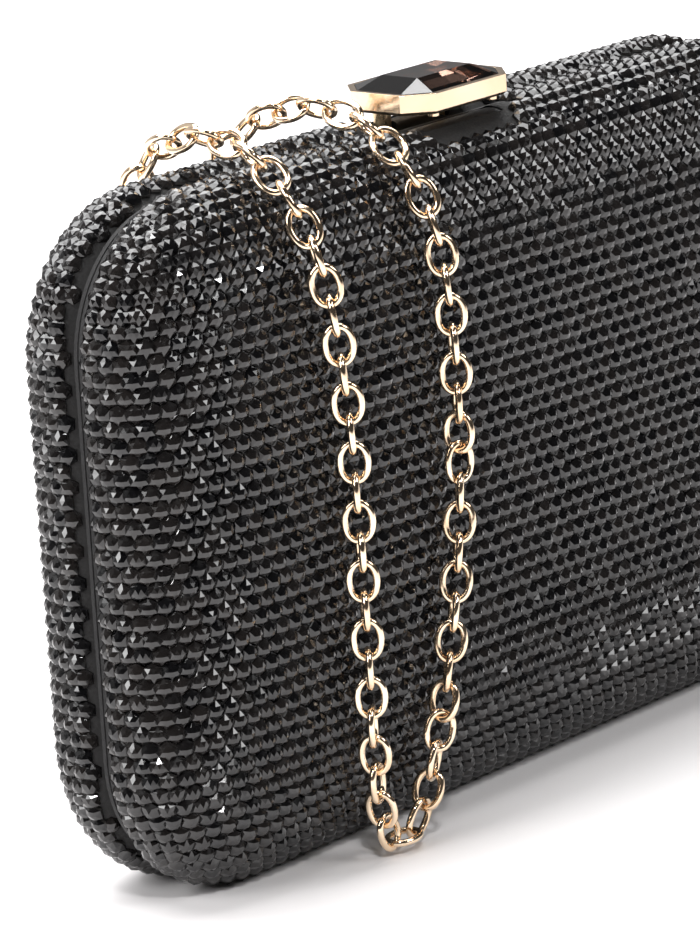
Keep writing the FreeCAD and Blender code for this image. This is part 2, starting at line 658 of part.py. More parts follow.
def chain_ring():
    ring = doc.addObject("Part::Torus", "ring")
    bind(ring, Radius1="Dimensions.ring_radius", Radius2="Dimensions.ring_wire", Placement__Base__x=lug_x,
         Placement__Base__z=f"{lug_z} + 0.6 + Dimensions.ring_radius")
    ring.Placement = Placement(Vector(0, RING_DEPTH, 0), Rotation(Vector(1, 0, 0), 90))
    finished(ring, "chain_ring")


# From the ring, up the back on the left, over the top, down the front to the low bend,
# and back the same way on the right.
CHAIN_ROUTE = [
    (-43.2, 22.0, 76.2), (-47.2, 22.2, 82.4), (-51.0, 22.6, 93.5), (-53.0, 20.8, 105.0), (-54.4, 13.4, 115.6),
    (-55.2, 4.2, 119.6), (-55.4, -5.0, 119.4), (-55.2, -14.0, 114.6), (-54.9, -20.6, 105.0), (-53.6, -22.8, 94.0),
    (-51.6, -22.9, 81.0), (-50.4, -22.7, 66.0), (-50.3, -22.8, 51.0), (-49.9, -22.7, 36.0), (-49.6, -22.5, 22.0),
    (-48.4, -21.8, 11.0), (-46.2, -21.2, 3.2), (-41.6, -21.0, 0.6), (-37.4, -21.3, 4.4), (-34.4, -21.9, 12.0),
    (-31.2, -22.6, 23.5), (-28.2, -22.8, 36.5), (-25.6, -22.9, 50.0), (-24.2, -22.8, 64.0), (-24.3, -22.9, 79.0),
    (-25.0, -22.8, 93.0), (-26.0, -20.6, 105.0), (-27.0, -14.0, 114.6), (-28.2, -5.0, 119.4), (-29.8, 4.2, 119.6),
    (-31.6, 13.4, 115.6), (-33.6, 20.8, 105.0), (-35.0, 22.6, 93.5), (-36.6, 22.2, 81.4), (-38.8, 22.0, 76.2),
]
TWISTS = (42, 51)
LEAN = 45


def chain_curve(points):
    """The chain's smooth line: a quadratic B-spline with the route's points as its poles."""
    poles = [Vector(*point) for point in points]
    inner = len(poles) - 3
    curve = Part.BSplineCurve()
    curve.buildFromPolesMultsKnots(poles, [3] + [1] * inner + [3], list(range(inner + 2)), False, 2)
    return curve


def stepped(points, pitch):
    """Those of the points that are a pitch apart in a straight line."""
    chosen = [points[0]]
    for point in points:
        if point.distanceToPoint(chosen[-1]) >= pitch:
            chosen.append(point)
    return chosen


def link_ends(curve):
    """The points on the line where each link meets the next, and the pitch that fits the links to it."""
    fine = curve.discretize(Number=9000)
    short, long = 0.5 * size["link_length"], size["link_length"]
    for _ in range(24):
        pitch = (short + long) / 2
        if len(stepped(fine, pitch)) > size["link_count"]:
            short = pitch
        else:
            long = pitch
    return stepped(fine, short), short


def lean(index, count):
    """How far a link leans about the chain's line: one way before the low bend and the other way after it."""
    bend = count // 2
    eased = min(1, min(index, abs(index - bend), count - 1 - index) / 6)
    return LEAN * eased if index < bend else -LEAN * eased


def link_turns(count):
    """How each link is turned about the chain's line, in degrees. The chain has a half twist in two places."""
    turns, upright = [], True
    while len(turns) < count:
        if len(turns) in TWISTS:
            turns += [62, 118]
            upright = False
        turns.append(90 if upright else 0)
        upright = not upright
    return [turn + lean(index, count) for index, turn in enumerate(turns[:count])]


def one_link():
    """A chain link of round wire, lying flat in the plane of X and Y with its length along X."""
    bend = size["link_width"] / 2 - size["wire_radius"]
    straight = size["link_length"] - size["link_width"]
    pieces = []
    for side in (1, -1):
        turn = Part.makeTorus(bend, size["wire_radius"], Vector(), Vector(0, 0, 1), -180, 180, 180)
        turn.Placement = Placement(Vector(side * straight / 2, 0, 0), Rotation(Vector(0, 0, 1), -90 * side))
        run = Part.makeCylinder(size["wire_radius"], straight, Vector(-straight / 2, side * bend, 0), Vector(1, 0, 0))
        pieces += [turn, run]
    return pieces[0].multiFuse(pieces[1:]).removeSplitter().Solids[0]


def chain_links():
    """Every link of the chain, each between two points of the line, with its flat side turned in or out."""
    curve = chain_curve(CHAIN_ROUTE)
    ends, pitch = link_ends(curve)
    link = one_link()
    links = []
    for start, end, turn in zip(ends, ends[1:], link_turns(len(ends) - 1)):
        middle = (start + end) / 2
        along = (end - start).normalize()
        core = Vector(middle.x, 0, min(middle.z, size["top_height"] - size["half_depth"]))
        side = along.cross(middle - core).normalize()
        outward = side.cross(along).normalize()
        basis = FreeCAD.Matrix(along.x, side.x, outward.x, middle.x, along.y, side.y, outward.y, middle.y,
                               along.z, side.z, outward.z, middle.z, 0, 0, 0, 1)
        placed = link.copy()
        placed.Placement = Placement(basis).multiply(Placement(Vector(), Rotation(Vector(1, 0, 0), turn)))
        links.append(placed)
    chain = doc.addObject("Part::Feature", "chain")
    chain.Shape = Part.makeCompound(links)
    chain.Placement = Placement()
    finished(chain, "chain_links")
    print(f"chain: {len(links)} links, {curve.length():.1f} mm along its line, pitch {pitch:.3f} mm")


# ---------------------------------------------------------------- build

strike_rivets = strike_tongue()
for half in (BACK, FRONT):
    half_pieces(half)
    hinge_leaf(half, rim_pieces(half))
finished(cylinder("pin", "Dimensions.pin_radius", "Dimensions.hinge_length",
                  ("-Dimensions.hinge_length / 2", 0, "Dimensions.hinge_height"), Vector(1, 0, 0)), "hinge_pin")
clasp_bezel()
clasp_crystal()
button_posts()
catch_bar()
clasp_housing()
clasp_spring()
chain_lug()
chain_ring()
chain_links()
doc.recompute()

failed = [obj.Name for obj in doc.Objects if "Invalid" in obj.State or "Error" in obj.State]
if failed:
    raise ValueError(f"these objects failed: {failed}")
for obj in SUBPARTS:
    if obj.Shape.isNull() or not obj.Shape.isValid() or not obj.Shape.Solids:
        raise ValueError(f"{obj.Label} has no valid solid")

os.makedirs("parts", exist_ok=True)
for obj in SUBPARTS:
    obj.Shape.exportStep(f"parts/{obj.Label}.step")
    print(f"{obj.Label}: {len(obj.Shape.Solids)} solid(s), {obj.Shape.Volume:.1f} mm3")
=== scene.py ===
"""The look of the stone-covered evening bag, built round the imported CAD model. Lengths are in metres."""

import math
import random

import bpy
import numpy as np
from mathutils import Matrix, Vector


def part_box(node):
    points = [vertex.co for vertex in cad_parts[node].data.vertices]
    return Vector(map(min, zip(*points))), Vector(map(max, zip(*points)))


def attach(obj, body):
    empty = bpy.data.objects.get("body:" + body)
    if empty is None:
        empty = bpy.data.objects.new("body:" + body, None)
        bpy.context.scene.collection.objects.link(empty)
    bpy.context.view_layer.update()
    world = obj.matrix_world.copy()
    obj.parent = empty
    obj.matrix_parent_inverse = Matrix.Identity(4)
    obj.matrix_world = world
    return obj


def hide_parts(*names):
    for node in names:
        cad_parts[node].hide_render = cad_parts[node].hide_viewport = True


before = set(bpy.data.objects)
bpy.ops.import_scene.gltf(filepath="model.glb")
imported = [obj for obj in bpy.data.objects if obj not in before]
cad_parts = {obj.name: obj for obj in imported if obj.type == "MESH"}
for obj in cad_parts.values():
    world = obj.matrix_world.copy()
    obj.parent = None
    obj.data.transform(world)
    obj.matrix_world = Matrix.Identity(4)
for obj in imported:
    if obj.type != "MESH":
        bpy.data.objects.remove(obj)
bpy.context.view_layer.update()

random.seed(7)
chance = np.random.default_rng(7)
scene = bpy.context.scene
MM = 0.001

# ---------------------------------------------------------------- sizes

# The pillow shape of one half, as the CAD model has it.
cover_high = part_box("back_stone_cover")[1]
HALF_WIDTH = cover_high.x
TOP = cover_high.z
BASE_TRIM = 0.6 * MM
MIDDLE = (TOP - BASE_TRIM) / 2
FACE_DEPTH = 19.0 * MM
EDGE_BLEND = 33.0 * MM
EDGE_POWER = 2.4
CORNER = 25.0 * MM
FACE_CORNER = 9.0 * MM
CROWN = 4.0 * MM
RIM = 0.9 * MM
RIM_ROLL = 2.0 * MM

# The net of stones.
STONE_PITCH = 3.0 * MM
ROW_PITCH = 2.6 * MM
MOST_ROWS = 40
STONE_REACH = 1.46 * MM

# Where the stones stop.
jewel_low, jewel_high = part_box("clasp_bezel")
WINDOW_GAP = 0.6 * MM
JEWEL_CUT = 4.6 * MM
lug_low, lug_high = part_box("chain_lug")
hinge_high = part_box("hinge_pin")[1]
HINGE_RELIEF = (2.3 * MM, 4.3 * MM)

# The chain.
LINK_COUNT = 77
LINK_LENGTH = 7.4 * MM
LINK_WIDTH = 5.6 * MM
WIRE = 0.575 * MM
TWISTS = (42, 51)
LEAN = 45
CHAIN_ROUTE = [
    (-43.2, 22.0, 76.2), (-47.2, 22.2, 82.4), (-51.0, 22.6, 93.5), (-53.0, 20.8, 105.0), (-54.4, 13.4, 115.6),
    (-55.2, 4.2, 119.6), (-55.4, -5.0, 119.4), (-55.2, -14.0, 114.6), (-54.9, -20.6, 105.0), (-53.6, -22.8, 94.0),
    (-51.6, -22.9, 81.0), (-50.4, -22.7, 66.0), (-50.3, -22.8, 51.0), (-49.9, -22.7, 36.0), (-49.6, -22.5, 22.0),
    (-48.4, -21.8, 11.0), (-46.2, -21.2, 3.2), (-41.6, -21.0, 0.6), (-37.4, -21.3, 4.4), (-34.4, -21.9, 12.0),
    (-31.2, -22.6, 23.5), (-28.2, -22.8, 36.5), (-25.6, -22.9, 50.0), (-24.2, -22.8, 64.0), (-24.3, -22.9, 79.0),
    (-25.0, -22.8, 93.0), (-26.0, -20.6, 105.0), (-27.0, -14.0, 114.6), (-28.2, -5.0, 119.4), (-29.8, 4.2, 119.6),
    (-31.6, 13.4, 115.6), (-33.6, 20.8, 105.0), (-35.0, 22.6, 93.5), (-36.6, 22.2, 81.4), (-38.8, 22.0, 76.2),
]

# The camera.
AZIMUTH = math.radians(-49.1)
ELEVATION = math.radians(14.7)
ROLL = math.radians(-3.5)
DISTANCE = 0.930
PAN_RIGHT = -0.0197
PAN_UP = 0.0503
LENS = 209.3


def add_camera():
    """A long lens from the front left, a little above the bag."""
    back = Vector((math.sin(AZIMUTH) * math.cos(ELEVATION), -math.cos(AZIMUTH) * math.cos(ELEVATION),
                   math.sin(ELEVATION)))
    level = Vector((math.cos(AZIMUTH), math.sin(AZIMUTH), 0))
    upright = back.cross(level)
    right = level * math.cos(ROLL) + upright * math.sin(ROLL)
    up = upright * math.cos(ROLL) - level * math.sin(ROLL)
    data = bpy.data.cameras.new("camera")
    data.lens = LENS
    data.clip_start = 0.05
    data.clip_end = 20
    camera = bpy.data.objects.new("camera", data)
    scene.collection.objects.link(camera)
    at = back * DISTANCE + right * PAN_RIGHT + up * PAN_UP
    camera.matrix_world = Matrix((
        (right.x, up.x, back.x, at.x), (right.y, up.y, back.y, at.y), (right.z, up.z, back.z, at.z), (0, 0, 0, 1)))
    scene.camera = camera


# ---------------------------------------------------------------- mesh helpers


def add_mesh(name, vertices, faces, materials, face_materials=None, smooth=False):
    mesh = bpy.data.meshes.new(name)
    mesh.from_pydata([tuple(v) for v in vertices], [], [tuple(f) for f in faces])
    for one in materials:
        mesh.materials.append(one)
    if face_materials is not None:
        mesh.polygons.foreach_set("material_index", np.asarray(face_materials, np.int32))
    mesh.polygons.foreach_set("use_smooth", np.full(len(mesh.polygons), smooth))
    mesh.update()
    obj = bpy.data.objects.new(name, mesh)
    scene.collection.objects.link(obj)
    return obj


# ---------------------------------------------------------------- materials


def new_material(name):
    made = bpy.data.materials.new(name)
    made.use_nodes = True
    nodes, links = made.node_tree.nodes, made.node_tree.links
    return made, nodes, links, nodes["Principled BSDF"]


def add_noise(nodes, links, scale, detail=4.0, coordinates="Object"):
    place = nodes.new("ShaderNodeTexCoord")
    noise = nodes.new("ShaderNodeTexNoise")
    noise.inputs["Scale"].default_value = scale
    noise.inputs["Detail"].default_value = detail
    links.new(place.outputs[coordinates], noise.inputs["Vector"])
    return noise


def add_range(nodes, links, source, low, high):
    """Spreads a value that is mostly between 0.3 and 0.7 over a range."""
    spread = nodes.new("ShaderNodeMapRange")
    spread.inputs["From Min"].default_value = 0.3
    spread.inputs["From Max"].default_value = 0.7
    spread.inputs["To Min"].default_value = low
    spread.inputs["To Max"].default_value = high
    links.new(source, spread.inputs["Value"])
    return spread.outputs["Result"]


def add_colours(nodes, links, source, dark, light):
    ramp = nodes.new("ShaderNodeValToRGB")
    ramp.color_ramp.elements[0].position = 0.3
    ramp.color_ramp.elements[1].position = 0.7
    ramp.color_ramp.elements[0].color = (*dark, 1)
    ramp.color_ramp.elements[1].color = (*light, 1)
    links.new(source, ramp.inputs["Fac"])
    return ramp.outputs["Color"]


def add_bump(nodes, links, source, shader, strength, distance):
    bump = nodes.new("ShaderNodeBump")
    bump.inputs["Strength"].default_value = strength
    bump.inputs["Distance"].default_value = distance
    links.new(source, bump.inputs["Height"])
    links.new(bump.outputs["Normal"], shader.inputs["Normal"])
    return bump


def black_crystal():
    """Black cut glass, each stone a little different in tone and polish."""
    made, nodes, links, shader = new_material("black_crystal")
    tone = nodes.new("ShaderNodeAttribute")
    tone.attribute_name = "tone"
    links.new(add_colours(nodes, links, tone.outputs["Fac"], (0.002, 0.002, 0.0025), (0.010, 0.0085, 0.008)),
              shader.inputs["Base Color"])
    smudge = add_noise(nodes, links, 260)
    links.new(add_range(nodes, links, smudge.outputs["Fac"], 0.06, 0.17), shader.inputs["Roughness"])
    shader.inputs["IOR"].default_value = 1.6
    return made


def foil_edge():
    """The thin silvery edge of each stone's foil back."""
    made, nodes, links, shader = new_material("foil_edge")
    worn = add_noise(nodes, links, 900)
    links.new(add_colours(nodes, links, worn.outputs["Fac"], (0.10, 0.095, 0.09), (0.36, 0.34, 0.33)),
              shader.inputs["Base Color"])
    shader.inputs["Metallic"].default_value = 1.0
    links.new(add_range(nodes, links, worn.outputs["Fac"], 0.22, 0.42), shader.inputs["Roughness"])
    return made


def stone_net():
    """The black woven net that the stones are set on."""
    made, nodes, links, shader = new_material("stone_net")
    weave = add_noise(nodes, links, 2200, detail=2.0)
    links.new(add_colours(nodes, links, weave.outputs["Fac"], (0.002, 0.002, 0.002), (0.012, 0.011, 0.011)),
              shader.inputs["Base Color"])
    links.new(add_range(nodes, links, weave.outputs["Fac"], 0.6, 0.95), shader.inputs["Roughness"])
    add_bump(nodes, links, weave.outputs["Fac"], shader, 0.5, 0.0002)
    return made


def gold(name, pale, deep, rough_low, rough_high, edge=0.00015):
    """Plated gold with fine scratches, uneven polish and softened edges."""
    made, nodes, links, shader = new_material(name)
    cloud = add_noise(nodes, links, 90)
    links.new(add_colours(nodes, links, cloud.outputs["Fac"], deep, pale), shader.inputs["Base Color"])
    shader.inputs["Metallic"].default_value = 1.0
    polish = add_noise(nodes, links, 600, detail=6.0)
    links.new(add_range(nodes, links, polish.outputs["Fac"], rough_low, rough_high), shader.inputs["Roughness"])
    fine = add_noise(nodes, links, 1500, detail=3.0)
    bump = add_bump(nodes, links, fine.outputs["Fac"], shader, 0.06, 0.0001)
    soft_edge = nodes.new("ShaderNodeBevel")
    soft_edge.inputs["Radius"].default_value = edge
    links.new(soft_edge.outputs["Normal"], bump.inputs["Normal"])
    return made


def steel():
    made, nodes, links, shader = new_material("spring_steel")
    brushed = add_noise(nodes, links, 700)
    links.new(add_colours(nodes, links, brushed.outputs["Fac"], (0.38, 0.38, 0.39), (0.62, 0.62, 0.63)),
              shader.inputs["Base Color"])
    shader.inputs["Metallic"].default_value = 1.0
    links.new(add_range(nodes, links, brushed.outputs["Fac"], 0.2, 0.36), shader.inputs["Roughness"])
    return made


def smoky_crystal():
    """Smoky brown cut glass, darker in streaks."""
    made, nodes, links, shader = new_material("smoky_crystal")
    cloud = add_noise(nodes, links, 120)
    links.new(add_colours(nodes, links, cloud.outputs["Fac"], (0.16, 0.085, 0.06), (0.30, 0.19, 0.15)),
              shader.inputs["Base Color"])
    shader.inputs["Transmission Weight"].default_value = 1.0
    shader.inputs["IOR"].default_value = 1.6
    fine = add_noise(nodes, links, 500)
    links.new(add_range(nodes, links, fine.outputs["Fac"], 0.0, 0.03), shader.inputs["Roughness"])
    return made


def velvet():
    made, nodes, links, shader = new_material("black_velvet")
    pile = add_noise(nodes, links, 3000, detail=3.0)
    links.new(add_colours(nodes, links, pile.outputs["Fac"], (0.002, 0.002, 0.002), (0.012, 0.011, 0.012)),
              shader.inputs["Base Color"])
    links.new(add_range(nodes, links, pile.outputs["Fac"], 0.8, 1.0), shader.inputs["Roughness"])
    shader.inputs["Sheen Weight"].default_value = 0.25
    add_bump(nodes, links, pile.outputs["Fac"], shader, 0.6, 0.0002)
    return made


def satin():
    """Black satin: a fine diagonal weave with a soft, uneven sheen."""
    made, nodes, links, shader = new_material("black_satin")
    place = nodes.new("ShaderNodeTexCoord")
    weave = nodes.new("ShaderNodeTexWave")
    weave.bands_direction = "DIAGONAL"
    weave.inputs["Scale"].default_value = 900
    weave.inputs["Distortion"].default_value = 1.5
    links.new(place.outputs["Object"], weave.inputs["Vector"])
    cloud = add_noise(nodes, links, 45)
    links.new(add_colours(nodes, links, cloud.outputs["Fac"], (0.010, 0.009, 0.010), (0.028, 0.026, 0.029)),
              shader.inputs["Base Color"])
    links.new(add_range(nodes, links, cloud.outputs["Fac"], 0.32, 0.5), shader.inputs["Roughness"])
    shader.inputs["Sheen Weight"].default_value = 0.3
    add_bump(nodes, links, weave.outputs["Fac"], shader, 0.25, 0.0001)
    return made


def black_plastic():
    made, nodes, links, shader = new_material("black_plastic")
    grain = add_noise(nodes, links, 1800)
    links.new(add_colours(nodes, links, grain.outputs["Fac"], (0.008, 0.008, 0.008), (0.02, 0.02, 0.02)),
              shader.inputs["Base Color"])
    links.new(add_range(nodes, links, grain.outputs["Fac"], 0.35, 0.55), shader.inputs["Roughness"])
    add_bump(nodes, links, grain.outputs["Fac"], shader, 0.3, 0.0001)
    return made


# ---------------------------------------------------------------- the pillow surface


def inset_at(x, z):
    """How far in from the outline a point lies, counted in the shape's own nested outlines."""
    inset = np.zeros(len(x))
    for _ in range(8):
        share = np.clip(inset / EDGE_BLEND, -0.3, 1.0)
        radius = CORNER * (1 - share) + FACE_CORNER * share
        across = np.abs(x) - (HALF_WIDTH - inset) + radius
        along = np.abs(z - MIDDLE) - ((TOP + BASE_TRIM) / 2 - inset) + radius
        gap = np.hypot(np.maximum(across, 0), np.maximum(along, 0)) + np.minimum(np.maximum(across, along), 0) - radius
        inset = inset - gap
    return inset


def surface_value(points):
    """Below 0 inside the back half's pillow shape, above 0 outside it."""
    share = 1 - inset_at(points[:, 0], points[:, 2]) / EDGE_BLEND
    depth = points[:, 1]
    lift = np.maximum(depth - CROWN, 0) / (FACE_DEPTH - CROWN)
    outer = (np.maximum(share, 0) ** EDGE_POWER + lift ** EDGE_POWER) ** (1 / EDGE_POWER) - 1
    inner = share - (1 - RIM_ROLL * ((CROWN - depth) / (CROWN - RIM)) ** 2 / EDGE_BLEND)
    return np.where(depth > CROWN, outer, inner)


def surface_slope(points):
    step = 0.02 * MM
    slope = np.empty_like(points)
    for axis in range(3):
        shift = np.zeros(3)
        shift[axis] = step
        slope[:, axis] = (surface_value(points + shift) - surface_value(points - shift)) / (2 * step)
    return slope


def on_surface(points, rounds=3):
    """The points, moved along the slope until they lie on the pillow shape."""
    for _ in range(rounds):
        slope = surface_slope(points)
        size = np.maximum((slope ** 2).sum(1, keepdims=True), 1e-9)
        points = points - surface_value(points)[:, None] * slope / size
    return points


def surface_normals(points):
    slope = surface_slope(points)
    return slope / np.linalg.norm(slope, axis=1, keepdims=True)


def spaced(points, step, start=0.0):
    """Points at equal steps along a line, from its first point."""
    lengths = np.concatenate([[0], np.cumsum(np.linalg.norm(np.diff(points, axis=0), axis=1))])
    where = np.arange(start, lengths[-1], step)
    return np.stack([np.interp(where, lengths, points[:, axis]) for axis in range(3)], axis=1)


def tangents(points):
    run = np.gradient(points, axis=0)
    return run / np.linalg.norm(run, axis=1, keepdims=True)


def trimmed(row):
    """A row that ends at the rim: points past it are dropped, and a short row is led on to it."""
    past = np.nonzero(row[:, 1] < RIM)[0]
    if len(past):
        return row[:past[0]]
    while len(row) > 1 and row[-1, 1] > RIM + 0.3 * MM and len(row) < 900:
        ahead = row[-1] + (row[-1] - row[-2]) / np.linalg.norm(row[-1] - row[-2]) * 0.5 * MM
        ahead = on_surface(ahead[None, :])
        if ahead[0, 1] < RIM or ahead[0, 1] > row[-1, 1] + 0.3 * MM:
            break
        row = np.vstack([row, ahead])
    return row


def first_row():
    """The level line at mid height, from the middle of the face to the rim at one end."""
    turn = np.linspace(0, math.pi / 2, 60)
    x = HALF_WIDTH - EDGE_BLEND * (1 - np.sin(turn) ** (2 / EDGE_POWER))
    y = CROWN + (FACE_DEPTH - CROWN) * np.cos(turn) ** (2 / EDGE_POWER)
    roll = np.linspace(0, 1, 10)[1:]
    x = np.concatenate([[0.0], x, HALF_WIDTH - RIM_ROLL * roll ** 2])
    y = np.concatenate([[FACE_DEPTH], y, CROWN - (CROWN - RIM) * roll])
    return spaced(np.stack([-x, y, np.full(len(x), MIDDLE)], axis=1), 0.8 * MM)


def rows_of_half():
    """Rows a row pitch apart, each one led up over the surface from the one below it."""
    row, steps = first_row(), 4
    rows = [row]
    turn = np.sign(np.cross(surface_normals(row), tangents(row))[0, 2])
    for _ in range(MOST_ROWS):
        for _ in range(steps):
            up = turn * np.cross(surface_normals(row), tangents(row))
            row = on_surface(row + up * ROW_PITCH / steps, rounds=2)
            row[0, 0] = 0.0
        row = trimmed(row)
        if len(row) < 4:
            break
        row = spaced(row, 0.8 * MM)
        rows.append(row)
    return rows


def stone_places():
    """Places of the stones on the back half with the directions along the row and out of the surface."""
    places, runs = [], []
    for number, row in enumerate(rows_of_half()):
        start = 0.0 if number % 2 == 0 else STONE_PITCH / 2
        at = on_surface(spaced(row, STONE_PITCH, start), rounds=1)
        if len(at) < 2:
            continue
        along = tangents(at)
        for flip_x in (1, -1):
            keep = slice(1 if start == 0.0 and flip_x == -1 else 0, None)
            for flip_z in (1, -1):
                if number == 0 and flip_z == -1:
                    continue
                mirror = np.array([flip_x, 1, flip_z])
                places.append((at[keep] - [0, 0, MIDDLE]) * mirror + [0, 0, MIDDLE])
                runs.append(along[keep] * mirror)
    return np.concatenate(places), np.concatenate(runs)


def clear_of_fittings(places, back):
    """True for stones that don't stand in the clasp's window, the hinge's slot, the seam or the lug's recess."""
    x, y, z = places.T
    half_length = jewel_high.x + WINDOW_GAP + 1.1 * MM
    half_width = jewel_high.y + WINDOW_GAP + 1.1 * MM
    in_window = (z > MIDDLE) & (np.abs(x) < half_length) & (y < half_width)
    in_window &= np.abs(x) + y < half_length + half_width - JEWEL_CUT
    in_hinge = (z < 8 * MM) & (np.abs(x) < hinge_high.x + 2.4 * MM) & (y < HINGE_RELIEF[0] + 1.2 * MM)
    keep = ~in_window & ~in_hinge & (y > RIM + 0.45 * MM)
    if back:
        margin = 1.6 * MM
        keep &= ~((y > 15 * MM) & (x > lug_low.x - margin) & (x < lug_high.x + margin)
                  & (z > lug_low.z - margin) & (z < lug_high.z + margin))
    return keep


def stone_template():
    """One cut stone: a six-sided edge, twelve steep facets and six shallow ones round a point."""
    corners = [math.radians(30 + 60 * i) for i in range(6)]
    halves = [math.radians(60 * i) for i in range(6)]
    outline = STONE_REACH / math.cos(math.radians(30))
    points = [(outline * math.cos(a), outline * math.sin(a), -1.5 * MM) for a in corners]
    points += [(outline * math.cos(a), outline * math.sin(a), -1.02 * MM) for a in corners]
    points += [(0.92 * MM * math.cos(a), 0.92 * MM * math.sin(a), -0.36 * MM) for a in halves]
    points.append((0, 0, -0.03 * MM))
    faces, foil = [], []
    for i in range(6):
        j = (i + 1) % 6
        faces.append((i, j, 6 + j, 6 + i))
        foil.append(1)
    for i in range(6):
        j = (i + 1) % 6
        faces.append((6 + i, 6 + j, 12 + j))
        faces.append((6 + i, 12 + j, 12 + i))
        faces.append((12 + i, 12 + j, 18))
        foil += [0, 0, 0]
    return np.array(points), faces, foil


def add_stones(name, body, node, side, materials):
    """All the stones of one half, as one mesh."""
    places, runs = stone_places()
    keep = clear_of_fittings(places, back=side == 1)
    places, runs = places[keep], runs[keep]
    normals = surface_normals(places)
    count = len(places)
    tilt = np.clip(chance.normal(0, math.radians(2.6), (count, 2)), -0.12, 0.12)
    across = np.cross(normals, runs)
    normals = normals + runs * tilt[:, :1] + across * tilt[:, 1:]
    normals /= np.linalg.norm(normals, axis=1, keepdims=True)
    runs = runs - normals * (runs * normals).sum(1, keepdims=True)
    runs /= np.linalg.norm(runs, axis=1, keepdims=True)
    across = np.cross(normals, runs)
    template, faces, foil = stone_template()
    vertices = (places[:, None, :] + template[None, :, :1] * runs[:, None, :]
                + template[None, :, 1:2] * across[:, None, :] + template[None, :, 2:] * normals[:, None, :])
    vertices[..., 1] = np.maximum(vertices[..., 1], RIM + 0.1 * MM)
    vertices[..., 2] = np.maximum(vertices[..., 2], 0.0)
    vertices[..., 1] *= side
    sides = np.array([vertices[0, f[1]] - vertices[0, f[0]] for f in faces])
    flipped = np.dot(np.cross(sides[6], vertices[0, faces[6][2]] - vertices[0, faces[6][0]]),
                     vertices[0, 18] - vertices[0, :6].mean(0)) < 0
    each = [tuple(reversed(f)) if flipped else f for f in faces]
    size = len(template)
    all_faces = [tuple(v + size * i for v in f) for i in range(count) for f in each]
    stones = add_mesh(name, vertices.reshape(-1, 3), all_faces, materials, foil * count)
    tone = stones.data.attributes.new("tone", "FLOAT", "POINT")
    tone.data.foreach_set("value", np.repeat(chance.uniform(0.2, 0.8, count), size).astype(np.float32))
    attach(stones, body)
    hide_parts(node)
    return stones


# ---------------------------------------------------------------- rings round the pillow


def ring(half_width, half_height, radius, depth, per_corner=10, long_side=36, short_side=20):
    """Points round a rounded rectangle that stands at a depth."""
    points = []
    for quarter, (sx, sz) in enumerate(((1, 1), (-1, 1), (-1, -1), (1, -1))):
        cx, cz = sx * (half_width - radius), sz * (half_height - radius)
        for i in range(per_corner + 1):
            angle = math.radians(90 * quarter + 90 * i / per_corner)
            points.append((cx + radius * math.cos(angle), depth, MIDDLE + cz + radius * math.sin(angle)))
        count = long_side if quarter % 2 == 0 else short_side
        x, _, z = points[-1]
        for i in range(1, count):
            share = i / count
            if quarter % 2 == 0:
                points.append((x - 2 * x * share, depth, z))
            else:
                points.append((x, depth, z - 2 * (z - MIDDLE) * share))
    return points


def pillow_rings(inset, from_depth=0.0):
    """Rings from the rim to the flat of the face, shrunk by an inset, as the CAD model's layers are."""
    rings = []
    reach = FACE_DEPTH - inset - CROWN
    profile = [(RIM_ROLL * (1 - s) ** 2, RIM + s * (CROWN - RIM)) for s in np.linspace(0, 1, 5)[:-1]]
    for turn in np.radians(np.linspace(0, 90, 19)):
        power = 2 / EDGE_POWER
        into = EDGE_BLEND * (1 - max(math.cos(turn), 0) ** power)
        profile.append((into, CROWN + reach * math.sin(turn) ** power))
    for into, depth in profile:
        if depth < from_depth:
            continue
        share = into / EDGE_BLEND
        radius = (CORNER - inset) * (1 - share) + FACE_CORNER * share
        rings.append(ring(HALF_WIDTH - inset - into, (TOP + BASE_TRIM) / 2 - inset - into, radius, depth))
    return rings


def sheet_from_rings(name, rings, material, side, skip=None):
    """A smooth sheet through the rings, closed by a face at the last one. skip says which parts stay open."""
    count = len(rings[0])
    vertices = [(x, y * side, max(z, 0.0003)) for one in rings for x, y, z in one]
    faces = []
    for level in range(len(rings) - 1):
        for i in range(count):
            j = (i + 1) % count
            face = (level * count + i, level * count + j, (level + 1) * count + j, (level + 1) * count + i)
            centre = sum((Vector(vertices[v]) for v in face), Vector()) / 4
            if skip is None or not skip(centre):
                faces.append(face if side == -1 else face[::-1])
    last = range((len(rings) - 1) * count, len(rings) * count)
    faces.append(tuple(last) if side == -1 else tuple(reversed(last)))
    return add_mesh(name, vertices, faces, [material], smooth=True)


def add_net(name, body, side, material):
    """The fabric under the stones, open over the button posts and along the hinge."""

    def open_part(centre):
        over_posts = centre.z > MIDDLE and abs(centre.x) < 11 * MM and abs(centre.y) < 7 * MM
        at_hinge = (abs(centre.x) < hinge_high.x + 1.5 * MM and abs(centre.y) < HINGE_RELIEF[0] + 0.4 * MM
                    and centre.z < HINGE_RELIEF[1])
        return over_posts or at_hinge

    net = sheet_from_rings(name, pillow_rings(1.55 * MM), material, side, open_part)
    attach(net, body)
    return net


